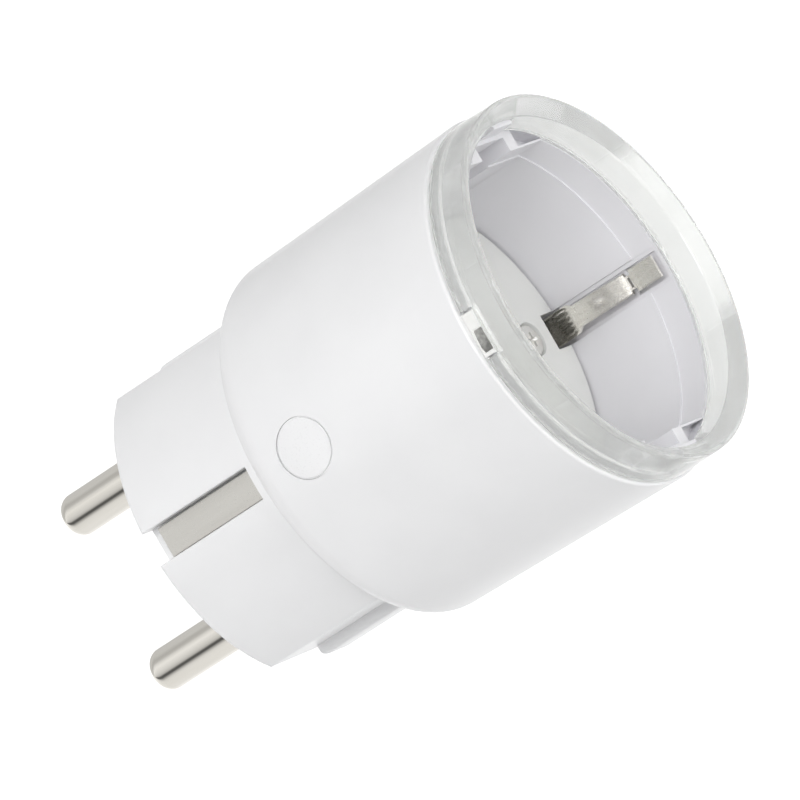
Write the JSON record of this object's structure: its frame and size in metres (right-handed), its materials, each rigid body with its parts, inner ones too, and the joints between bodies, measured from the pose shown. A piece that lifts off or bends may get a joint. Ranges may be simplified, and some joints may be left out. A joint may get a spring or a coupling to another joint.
{
  "type": "smart plug",
  "caption": "Round mains pass-through smart plug: two round pins, side earth strips, a deep socket with a clear light ring, a side button, and a relay and boards inside.",
  "frame": {"origin": "centre of the plug nose's flat face, where it meets the floor of a wall socket", "axes": "+Z along the plug axis towards the pass-through socket's mouth, so the pins point to -Z; the two pins lie along X; the button, one earth strip and the light's window face -Y"},
  "size_m": [0.0434, 0.0434, 0.0725],
  "materials": {
    "white_shell": "satin white moulded plastic",
    "clear_ring": "clear polished moulded plastic with a faint green-grey tint",
    "well_wall": "light lilac-grey moulded plastic",
    "well_floor": "light grey moulded plastic",
    "button_white": "white moulded plastic",
    "nickel": "satin nickel plate on brass",
    "steel": "bright zinc-plated steel",
    "copper_winding": "enamelled copper wire",
    "brass": "stamped brass",
    "board_green": "green solder mask on glass-fibre board",
    "black_plastic": "black moulded plastic",
    "film_yellow": "yellow moulded film-capacitor case",
    "varistor_blue": "blue dipped epoxy",
    "capacitor_sleeve": "dark sleeve on an aluminium can",
    "flex_amber": "amber polyimide film",
    "led_package": "white light package"
  },
  "bodies": {
    "plug_body": {"housing": "white_shell", "light_ring": "clear_ring", "socket_sleeve": "well_wall", "socket_floor": "well_floor", "fuse_resistor": "well_floor", "line_pin": "nickel", "neutral_pin": "nickel", "earth_strap_front": "nickel", "earth_strap_back": "nickel", "earth_bridge": "nickel", "floor_screw_front": "steel", "floor_screw_back": "steel", "radio_shield": "steel", "relay_yoke": "steel", "relay_coil": "copper_winding", "supply_inductor": "copper_winding", "current_shunt": "copper_winding", "line_contact": "brass", "neutral_contact": "brass", "relay_fixed_contact": "brass", "power_board": "board_green", "control_board": "board_green", "pin_carrier": "black_plastic", "board_header": "black_plastic", "switch_body": "black_plastic", "relay_base": "black_plastic", "relay_case": "black_plastic", "suppression_capacitor": "film_yellow", "varistor": "varistor_blue", "bulk_capacitor_left": "capacitor_sleeve", "bulk_capacitor_right": "capacitor_sleeve", "led_flex": "flex_amber", "ring_led": "led_package"},
    "button": {"button": "button_white"},
    "switch_plunger": {"switch_plunger": "steel"},
    "relay_armature": {"relay_armature": "steel"},
    "relay_contact_blade": {"relay_contact_blade": "brass"},
    "earth_clip_front": {"earth_clip_front": "nickel"},
    "earth_clip_back": {"earth_clip_back": "nickel"}
  },
  "joints": [
    {"name": "button_press", "type": "slide", "parent": "plug_body", "child": "button", "axis": [0, 1, 0], "range_m": [0, 0.0004], "stiffness_N_per_m": 1200},
    {"name": "switch_press", "type": "slide", "parent": "plug_body", "child": "switch_plunger", "axis": [0, 1, 0], "range_m": [0, 0.0004]},
    {"name": "armature_pull", "type": "hinge", "parent": "plug_body", "child": "relay_armature", "pos_m": [0, 0.0005, 0.0227], "axis": [1, 0, 0], "range_deg": [0, 3.5], "stiffness_Nm_per_rad": 0.05},
    {"name": "contact_blade_flex", "type": "hinge", "parent": "plug_body", "child": "relay_contact_blade", "pos_m": [0, 0.00255, 0.0113], "axis": [-1, 0, 0], "range_deg": [0, 3], "stiffness_Nm_per_rad": 0.05},
    {"name": "earth_clip_front_flex", "type": "hinge", "parent": "plug_body", "child": "earth_clip_front", "pos_m": [0, -0.0182, 0.034], "axis": [1, 0, 0], "range_deg": [0, 3.5], "stiffness_Nm_per_rad": 0.5},
    {"name": "earth_clip_back_flex", "type": "hinge", "parent": "plug_body", "child": "earth_clip_back", "pos_m": [0, 0.0182, 0.034], "axis": [-1, 0, 0], "range_deg": [0, 3.5], "stiffness_Nm_per_rad": 0.5}
  ],
  "couplings": [
    {"joint": "switch_press", "follows": "button_press", "ratio": 1},
    {"joint": "contact_blade_flex", "follows": "armature_pull", "ratio": 0.8}
  ]
}
